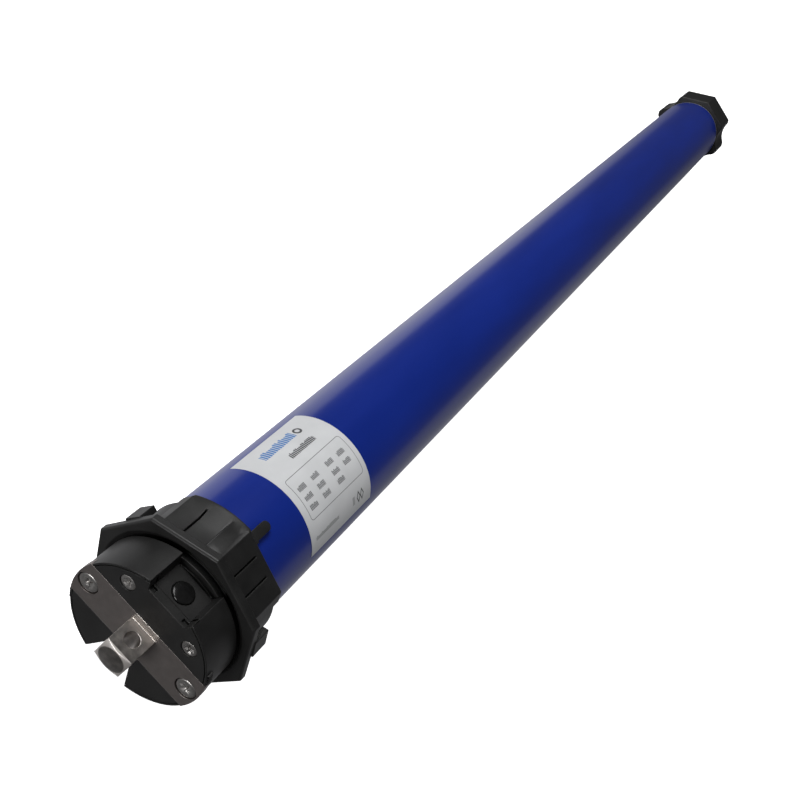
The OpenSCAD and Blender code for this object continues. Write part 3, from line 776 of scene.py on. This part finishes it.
def head_cutters(back):
    """The button recess, deeper where the insert sits, and the cable notch."""
    seat_x = INSERT_X[0] - 0.03
    steps = ((-1, FLOOR_Z), (seat_x, FLOOR_Z), (seat_x + 0.01, SEAT_Z), (back, SEAT_Z))
    return (
        loft("recess", [[(x, y, z) for y, z in recess_outline(floor_z)] for x, floor_z in steps]),
        prism("notch", recess_outline(-NOTCH_Z, 180), -1, min(back, NOTCH_BACK)),
    )


def end_grip(angle):
    """Small ribbed grip on the head's rim, beside the plate's end."""
    foot, tip = HEAD_R - 0.8, HEAD_R + 0.55
    groove_half, groove_depth = 0.18, 0.35
    grip = block("grip", (0.3, 2.6), (-GRIP_HALF, GRIP_HALF), (foot, tip))
    grooves = []
    for middle in (-GRIP_HALF / 2, 0, GRIP_HALF / 2):
        width = (middle - groove_half, middle + groove_half)
        grooves.append(block("groove", (-1, 4), width, (tip - groove_depth, tip + 1)))
    cut(grip, *grooves)
    return swing(grip, angle)


def head_housing():
    """Round head with the plate's slot, the button recess, the cable inlet and a spigot for the tube."""
    body = turned("head_housing_body", [
        (CAP_LEN, 0), (CAP_LEN, RIM_R), (0, RIM_R), (0, HEAD_R), (HEAD_LEN, HEAD_R),
        (HEAD_LEN, SPIGOT_R), (COLLAR[0], SPIGOT_R), (COLLAR[0], COLLAR[2]), (COLLAR[1], COLLAR[2]),
        (COLLAR[1], SPIGOT_R), (SPIGOT_END, SPIGOT_R), (SPIGOT_END, SPIGOT_BORE),
        (COLLAR[1], SPIGOT_BORE), (COLLAR[1], 0)])
    join(body, end_grip(GRIP_ANGLE), end_grip(GRIP_ANGLE - 180))
    play = 0.05
    half, back, floor_z = SWITCH_POCKET
    cut(
        body,
        block("plate_slot", (-1, PLATE_T), PAST_HEAD, (-PLATE_HALF - play, PLATE_HALF + play)),
        *head_cutters(HEAD_LEN + 0.35),
        block("switch_pocket", (CAP_LEN - 1, back), (-half, half), (floor_z, FLOOR_Z)),
        stand(rod("inlet", GROMMET_R, INLET_X, SPIGOT_END), (0, 0, CABLE_Z)),
    )
    return finish(body, "motor", "black_plastic", "head_housing", edge=0.2)


def front_cap():
    """Disc that closes the head, with seats for its two screws and a latch pocket at each recess corner."""
    cap = turned("front_cap_disc", [(0, 0), (0, CAP_R), (CAP_LEN, CAP_R), (CAP_LEN, 0)])
    head_r, seat_x = CAP_SCREW_HEAD
    wall_y = FLOOR_Z * math.tan(math.radians(NOTCH_ANGLE))
    screw_seats = []
    latch_pockets = []
    for side in (-1, 1):
        seat = rod("screw_seat", head_r + 0.05, -1, seat_x)
        screw_seats.append(stand(seat, (0, side * CAP_SCREW[0], CAP_SCREW[1])))
        across = sorted((side * (wall_y - LATCH_WIDTH), side * (wall_y + 0.35)))
        latch_pockets.append(block("latch_pocket", LATCH_X, across, (FLOOR_Z - 1, FLOOR_Z + 0.6)))
    cut(
        cap,
        block("plate_slot", (-1, PLATE_T), PAST_HEAD, (-PLATE_HALF, PLATE_HALF)),
        block("foot_slot", (0.5, STUD_BACK), (-STUD_FOOT, STUD_FOOT), (-STUD_FOOT, STUD_FOOT)),
        *head_cutters(CAP_LEN + 1),
        *screw_seats,
        *latch_pockets,
    )
    return finish(cap, "motor", "black_plastic", "front_cap", edge=0.15)


def bracket_plate():
    """Steel bar across the cap with round ends and two screw holes; the stud's foot fits its middle."""
    end_angle = math.degrees(math.asin(PLATE_HALF / PLATE_R))
    outline = (
        [(STUD_HALF, -STUD_HALF), (STUD_HALF, PLATE_HALF)]
        + arc(PLATE_R, 90 - end_angle, 90 + end_angle, 24)
        + arc(PLATE_R, 270 - end_angle, 270 + end_angle, 24)
        + [(-STUD_HALF, PLATE_HALF), (-STUD_HALF, -STUD_HALF)]
    )
    plate = prism("bracket_plate_steel", outline, 0, PLATE_T)
    head_r, seat_x = PLATE_SCREW_HEAD
    for side in (-1, 1):
        screw_place = (0, side * PLATE_SCREW_Y, 0)
        cut(
            plate,
            stand(rod("hole", PLATE_HOLE_R, -1, PLATE_T + 1), screw_place),
            stand(rod("sink", head_r + 0.35, -1, seat_x), screw_place),
        )
    return finish(plate, "motor", "bracket_steel", "bracket_plate", edge=0.08)


def mounting_stud():
    """Square stud with a chamfered tip and a cross hole, its foot beside the plate and flange behind it."""
    across = (-STUD_HALF, STUD_HALF)
    stud = block("mounting_stud_square", (STUD_TIP, STUD_BACK), across, across)
    corner_r = STUD_HALF * math.sqrt(2)
    outside = 2 * STUD_HALF
    keep(stud, turned("cone", [
        (STUD_TIP, 0), (STUD_TIP, STUD_HALF - 0.7), (STUD_TIP + 1, corner_r), (STUD_TIP + 1, outside),
        (STUD_BACK, outside), (STUD_BACK, 0)]))
    join(
        stud,
        block("foot", (0.03, PLATE_T), across, (0, PLATE_HALF)),
        block("flange", (PLATE_T, STUD_BACK), (-STUD_FOOT, STUD_FOOT), (-STUD_FOOT, STUD_FOOT)),
    )
    cut(stud, stand(rod("pin_hole", PIN_HOLE_R, -20, 20), (PIN_HOLE_X, 0, 0), (0, 0, 1)))
    return finish(stud, "motor", "stud_steel", "mounting_stud", edge=0.18)


def cross_outline(x, reach, half):
    """Twelve corners of a cross at a depth."""
    quarter = [(reach, -half), (reach, half), (half, half)]
    points = []
    for turn in range(4):
        for y, z in quarter:
            for _ in range(turn):
                y, z = -z, y
            points.append((x, y, z))
    return points


def screw(name, place, head, turn, slot_reach):
    """A pan-head screw with a tapered cross recess, its head from just behind the plate's face."""
    front = 0.15
    head_r, seat_x = head
    shank_r = head_r * 0.43
    flat_r = 0.7 * head_r
    dome = []
    for share in (i / 6 for i in range(7)):
        dome.append((front + 0.35 * share ** 2, flat_r + (head_r - flat_r) * math.sin(share * math.pi / 2)))
    body = turned(name, [
        (front, 0), *dome, (seat_x, head_r), (seat_x, shank_r), (HEAD_SCREW_END, shank_r),
        (HEAD_SCREW_END, 0)], MIDDLE_ROUND)
    recess = loft("cross", [
        cross_outline(front - 0.15, slot_reach * 1.22, slot_reach * 0.5),
        cross_outline(front + 0.45, slot_reach * 0.74, slot_reach * 0.12),
        cross_outline(front + 1.1, slot_reach * 0.3, slot_reach * 0.1)])
    cut(body, recess)
    return stand(swing(body, -turn), (0, *place))


def joined(name, pieces):
    """One object from several separate solids."""
    whole = bmesh.new()
    for piece in pieces:
        whole.from_mesh(piece.data)
        bpy.data.objects.remove(piece)
    mesh = bpy.data.meshes.new(name)
    whole.to_mesh(mesh)
    whole.free()
    return placed(name, mesh)


def head_screws():
    """The two screws of the plate and the two of the cap."""
    plate = [
        screw("plate_screw", (side * PLATE_SCREW_Y, 0), PLATE_SCREW_HEAD, turn, 2.1)
        for side, turn in ((-1, 12), (1, 38))
    ]
    cap = [
        screw("cap_screw", (side * CAP_SCREW[0], CAP_SCREW[1]), CAP_SCREW_HEAD, turn, 1.6)
        for side, turn in ((-1, 55), (1, 20))
    ]
    finish(joined("plate_screw_pair", plate), "motor", "screw_steel", "plate_screws", edge=0)
    finish(joined("cap_screw_pair", cap), "motor", "screw_steel", "cap_screws", edge=0)


def button_insert():
    """Plate that holds the button, stepped down at its back."""
    start, end = INSERT_X
    outline = recess_outline(SEAT_Z + 0.05)[:2] + recess_outline(FLOOR_Z)[1::-1]
    fit = 0.994
    insert = prism("button_insert_plate", [(fit * y, z) for y, z in outline], start, end)
    cut(
        insert,
        block("step", (end - 1, end + 1), (-20, 20), (FLOOR_Z - 1.2, FLOOR_Z + 1)),
        stand(rod("button_hole", BUTTON_R + 0.2, 0, 40), (BUTTON_X, 0, 0), (0, 0, 1)),
    )
    return finish(insert, "motor", "black_plastic", "button_insert", edge=0)


def button():
    """Domed push button, its flange held under the insert."""
    foot, top = low("button").z, high("button").z
    flange_top = SEAT_Z - 0.1
    flange_foot = flange_top - 0.7
    radii = [BUTTON_R * i / 8 for i in range(8, 0, -1)]
    dome = [(top - BUTTON_DOME_R + math.sqrt(BUTTON_DOME_R ** 2 - r ** 2), r) for r in radii]
    knob = turned("button_knob", [
        (foot, 0), (foot, BUTTON_STEM_R), (flange_foot, BUTTON_STEM_R), (flange_foot, BUTTON_FLANGE_R),
        (flange_top, BUTTON_FLANGE_R), (flange_top, BUTTON_R), *dome, (top, 0)], MIDDLE_ROUND)
    stand(knob, (BUTTON_X, 0, 0), (0, 0, 1))
    return finish(knob, "button", "button_gloss", "button", edge=0.4, segments=4)


# ---------------------------------------------------------------- crown and tube


def crown_slots():
    """Narrow slots along the crown's upper and lower flats; the pad takes the place of one."""
    flat_r = CROWN_R * math.cos(math.radians(22.5))
    tools = []
    for flat in (0, 3, 4, 7):
        for side in (-1, 1):
            if (flat, side) == (0, -1):
                continue
            middle = side * SLOT_OFFSET
            width = (middle - SLOT_HALF, middle + SLOT_HALF)
            slot = block("slot", SLOT_X, width, (flat_r - SLOT_DEPTH, flat_r + 2))
            tools.append(swing(slot, 22.5 + 45 * flat))
    return tools


def side_pocket(side):
    """The space round two hooks, where the crown's body is round instead of octagonal."""
    start, end = CROWN_CORNER_ANGLE, 180 - CROWN_CORNER_ANGLE
    outline = arc(CROWN_SIDE_R, side * start, side * end, 48)
    outline += [polar(50, side * angle) for angle in (end, 90, start)]
    return prism("side_pocket", outline, CROWN_X + FLANGE_LEN, CROWN_REAR + 1)


def corner_pad():
    """Flat pad beside the top corner, sloped at both ends."""
    near, far = 0.3, 5.8
    foot = CROWN_SIDE_R - 0.5
    return loft("corner_pad", [
        [(x, near, foot), (x, far, foot), (x, far, top), (x, near, top)]
        for x, top in ((19.8, 26.3), (22, 27.25), (30, 27.3), (33, 26.9))])


def rear_rim():
    """Round rim that rises between the top corner and the next one."""
    rise_x = CROWN_REAR - 12
    rim = turned("rear_rim", [
        (rise_x, 0), (rise_x, CROWN_SIDE_R - 0.2), (CROWN_REAR - 0.6, CROWN_RIM_R),
        (CROWN_REAR + 0.3, CROWN_RIM_R), (CROWN_REAR + 0.3, 0)])
    return keep(rim, prism("rim_span", [(0, 0), polar(60, 0), polar(60, 45)], CROWN_X, CROWN_REAR + 2))


def crown_adapter():
    """Eight-sided crown with a flange, hooks at its round sides, slots, a pad, a rim and a tongue."""
    chamfer = 0.6
    body_x = CROWN_X + FLANGE_LEN
    sections = [
        (CROWN_X, FLANGE_R - chamfer), (CROWN_X + chamfer, FLANGE_R), (body_x, FLANGE_R),
        (body_x, CROWN_R), (CROWN_REAR - chamfer, CROWN_R), (CROWN_REAR, CROWN_R - chamfer)]
    crown = octagonal("crown_octagon", sections)
    cut(crown, side_pocket(1), side_pocket(-1))
    hooks = []
    for angle in (HOOK_ANGLE, -HOOK_ANGLE, 180 - HOOK_ANGLE, 180 + HOOK_ANGLE):
        hook = block("hook", (body_x - 0.5, body_x + HOOK_LEN), (-HOOK_HALF, HOOK_HALF), HOOK_R)
        hooks.append(swing(hook, angle))
    join(crown, *hooks, corner_pad(), rear_rim())
    sleeve_r = TUBE_R + 0.02
    bore = turned("bore", [
        (CROWN_X - 1, 0), (CROWN_X - 1, CROWN_MOUTH + 1.4), (CROWN_X + 1.2, CROWN_BORE),
        (RING_X, CROWN_BORE), (RING_X, sleeve_r), (CROWN_REAR + 1, sleeve_r), (CROWN_REAR + 1, 0)])
    cut(crown, bore, *crown_slots())
    join(crown, crown_tongue())
    return finish(crown, "crown", "black_plastic", "crown_adapter", edge=0.25)


def crown_tongue():
    """Round-ended tongue that reaches over the tube from a slightly wider root."""
    root_x, shoulder_x, end_x = CROWN_REAR - 1.5, CROWN_REAR + 2.5, TONGUE_END - TONGUE_HALF
    root_half = TONGUE_HALF + 0.5
    outline = [(root_x, -root_half), (shoulder_x, -root_half), (shoulder_x, -TONGUE_HALF)]
    for angle in range(-90, 91, 10):
        across, along = polar(TONGUE_HALF, angle)
        outline.append((end_x + along, across))
    outline += [(shoulder_x, TONGUE_HALF), (shoulder_x, root_half), (root_x, root_half)]
    tongue = loft("tongue", [[(x, y, TUBE_R + rise) for x, y in outline] for rise in (0.4, 2)])
    return swing(tongue, TONGUE_ANGLE)


def motor_tube():
    """Plain tube with a hole for each screw."""
    inner = TUBE_R - TUBE_WALL
    tube = turned("motor_tube_steel", [
        (TUBE_X, inner), (TUBE_X, TUBE_R), (TUBE_END, TUBE_R), (TUBE_END, inner)], closed=True)
    holes = [
        stand(rod("screw_hole", 1.6, 0, 40, 32), (x, 0, 0), (0, *polar(1, angle)))
        for x, angle in TUBE_SCREWS]
    cut(tube, *holes)
    return finish(tube, "motor", "tube_paint", "motor_tube", edge=0.12, segments=2)


def type_label():
    """Thin film bent round the tube."""
    inner, outer = TUBE_R + 0.01, TUBE_R + 0.13
    steps = 120
    outline = arc(inner, -LABEL_HALF_ANGLE, LABEL_HALF_ANGLE, steps)
    outline += arc(outer, LABEL_HALF_ANGLE, -LABEL_HALF_ANGLE, steps)
    film = prism("type_label_film", outline, *LABEL_X)
    return finish(film, "motor", "label", "type_label", edge=0.03, segments=2)


def tube_screws():
    """Screws that hold the head and the gearbox in the tube, on its underside."""
    shank_r = 1.25
    seat_r = TUBE_R + 0.03
    tip_r = TUBE_R + 0.95
    heads = []
    for index, (x, angle) in enumerate(TUBE_SCREWS):
        head = turned("tube_screw", [
            (20, 0), (20, shank_r), (seat_r, shank_r), (seat_r, 2.6), (TUBE_R + 0.45, 2.5),
            (TUBE_R + 0.8, 2.1), (tip_r, 1.5), (tip_r, 0)], FINE_ROUND)
        recess = [cross_outline(tip_r + 0.2, 1.5, 0.34), cross_outline(tip_r - 0.7, 0.7, 0.22)]
        cut(head, loft("cross", recess))
        heads.append(stand(swing(head, -17 * index), (x, 0, 0), (0, *polar(1, angle))))
    return finish(joined("tube_screw_set", heads), "motor", "screw_steel", "tube_screws", edge=0)


# ---------------------------------------------------------------- drive wheel


def drive_wheel():
    """Eight-sided wheel with four dips, two grooves inside and a bore with two flats."""
    start, end = WHEEL_X
    chamfer = 0.5
    rim_r = WHEEL_R - chamfer
    sections = [(start, rim_r), (start + chamfer, WHEEL_R), (end - chamfer, WHEEL_R), (end, rim_r)]
    wheel = octagonal("drive_wheel_octagon", sections, WHEEL_TURN)
    dip_centre = WHEEL_R * math.cos(math.radians(22.5)) + DIP_R - DIP_DEPTH
    dips = [
        stand(rod("dip", DIP_R, start - 1, end + 1, MIDDLE_ROUND), (0, *polar(dip_centre, angle)))
        for angle in WHEEL_DIPS]
    play = 0.02
    flats = (-SHAFT_FLAT - play, SHAFT_FLAT + play)
    bore = keep(
        rod("bore", SHAFT_R + play, start - 1, end + 1),
        block("flats", (start - 2, end + 2), flats, (-20, 20)))
    grooves = [
        turned("groove", [(x, 12), (x, 18), (x + 11, 18), (x + 11, 12)], closed=True)
        for x in (start - 1, start + 11.5)]
    cut(wheel, *dips, bore, *grooves)
    return finish(wheel, "output", "black_plastic", "drive_wheel", edge=0.25)


def wheel_fixing():
    """Bolt and washer that hold the drive wheel on its shaft."""
    start = WHEEL_X[1] - 12
    seat = WASHER_X + 0.01
    washer_end = WASHER_X + 1.4
    bolt_end = WASHER_X + 4
    shank_r, washer_r, bolt_head_r = 2.45, 10.5, 4.6
    bolt = turned("wheel_fixing_bolt", [
        (start, 0), (start, shank_r), (seat, shank_r), (seat, washer_r - 0.3),
        (WASHER_X + 0.2, washer_r), (washer_end - 0.2, washer_r), (washer_end, washer_r - 0.2),
        (washer_end, bolt_head_r), (bolt_end - 0.4, bolt_head_r), (bolt_end, bolt_head_r - 0.4),
        (bolt_end, 0)], MIDDLE_ROUND)
    socket = [polar(2.4, 60 * i) for i in range(6)]
    cut(bolt, prism("socket", socket, WASHER_X + 2, WASHER_X + 6))
    return finish(bolt, "output", "screw_steel", "wheel_fixing", edge=0.1, segments=2)


# ---------------------------------------------------------------- studio


def studio():
    """Plain pale floor, and the light and dark surroundings that the motor mirrors."""
    scene = bpy.context.scene
    scene.view_settings.view_transform = "Standard"
    scene.world = bpy.data.worlds.new("studio")
    sky = Nodes(scene.world, "Background")
    x, y, z = sky.parts(sky.node("ShaderNodeTexCoord", output="Generated"))
    below = sky.ramp(z, 0.03, -0.06)
    ahead = sky.ramp(x, -0.45, 0.2, 0.15, 1.0)
    side = sky.ramp(y, -0.5, 0.5, 0.30, 0.76)
    far = sky.ramp(x, 0.87, 0.95, 1.0, 0.28)
    dim = 0.06
    level = dim + below * (ahead * side * far - dim)
    sky.feed(sky.shader.inputs["Color"], sky.mix(level, (0, 0, 0), (1, 1, 1.02)))
    floor()


def floor():
    """Pale floor that rises far away into a round wall."""
    base = CAD_BOX[0].z / MM - 0.3
    profile = [(4000, base), (5000, base + 300), (5600, base + 1200), (5800, base + 5000)]
    steps = 48
    vertices = [
        (radius * math.cos(math.tau * i / steps), radius * math.sin(math.tau * i / steps), height)
        for radius, height in profile for i in range(steps)]
    faces = [list(range(steps))]
    for level in range(len(profile) - 1):
        near, far = level * steps, (level + 1) * steps
        for i in range(steps):
            j = (i + 1) % steps
            faces.append([near + i, near + j, far + j, far + i])
    dish = mesh_piece("studio_floor", vertices, faces)
    dish.data.shade_smooth()
    paint = Paint("pale_floor", base_color=(0.9, 0.9, 0.9), roughness=0.9)
    paint.set(emission_color=(1.0, 1.0, 1.0), emission_strength=1.0)
    dish.data.materials.append(paint.material)
    dish.visible_diffuse = False
    dish.visible_glossy = False
    dish.visible_shadow = False


def soft_light(name, place, aim, size, power):
    """A soft box at a place in millimetres, turned to an aim point."""
    data = bpy.data.lights.new(name, "AREA")
    data.shape = "RECTANGLE"
    data.size, data.size_y = (side * MM for side in size)
    data.energy = power
    lamp = placed(name, data)
    lamp.location = Vector(place) * MM
    lamp.rotation_euler = (Vector(aim) - Vector(place)).to_track_quat("-Z", "Y").to_euler()
    return lamp


def lights():
    """One large box above, one small box in front, and a fill that no surface mirrors."""
    middle = (200, 0, 0)
    soft_light("top_left_box", (30, 900, 1530), middle, (1200, 800), 27)
    soft_light("front_box", (-1140, 240, 180), (0, 0, 0), (500, 500), 7)
    fill = soft_light("right_fill", (300, -1080, 1440), (300, 0, 0), (1200, 800), 6)
    fill.visible_glossy = False


def camera():
    """Looks down along the motor from in front of and above its head."""
    data = bpy.data.cameras.new("camera")
    data.sensor_width = 36
    data.lens = 46.45
    data.clip_start = 0.01
    data.clip_end = 20
    eye = placed("camera", data)
    eye.location = Vector((-166.952, 0, 267.905)) * MM
    eye.rotation_euler = [math.radians(angle) for angle in (39.594, -34.989, -55.546)]
    bpy.context.scene.camera = eye


def paint_cad_nodes():
    """Gives every CAD node that still shows its material."""
    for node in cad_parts.values():
        if node.hide_render:
            continue
        for holder in node.material_slots:
            holder.material = MATERIALS[holder.material.name.split(".")[0]]


camera()
studio()
lights()
head_housing()
front_cap()
bracket_plate()
mounting_stud()
head_screws()
button_insert()
button()
crown_adapter()
motor_tube()
type_label()
tube_screws()
drive_wheel()
wheel_fixing()
paint_cad_nodes()

bpy.context.view_layer.update()
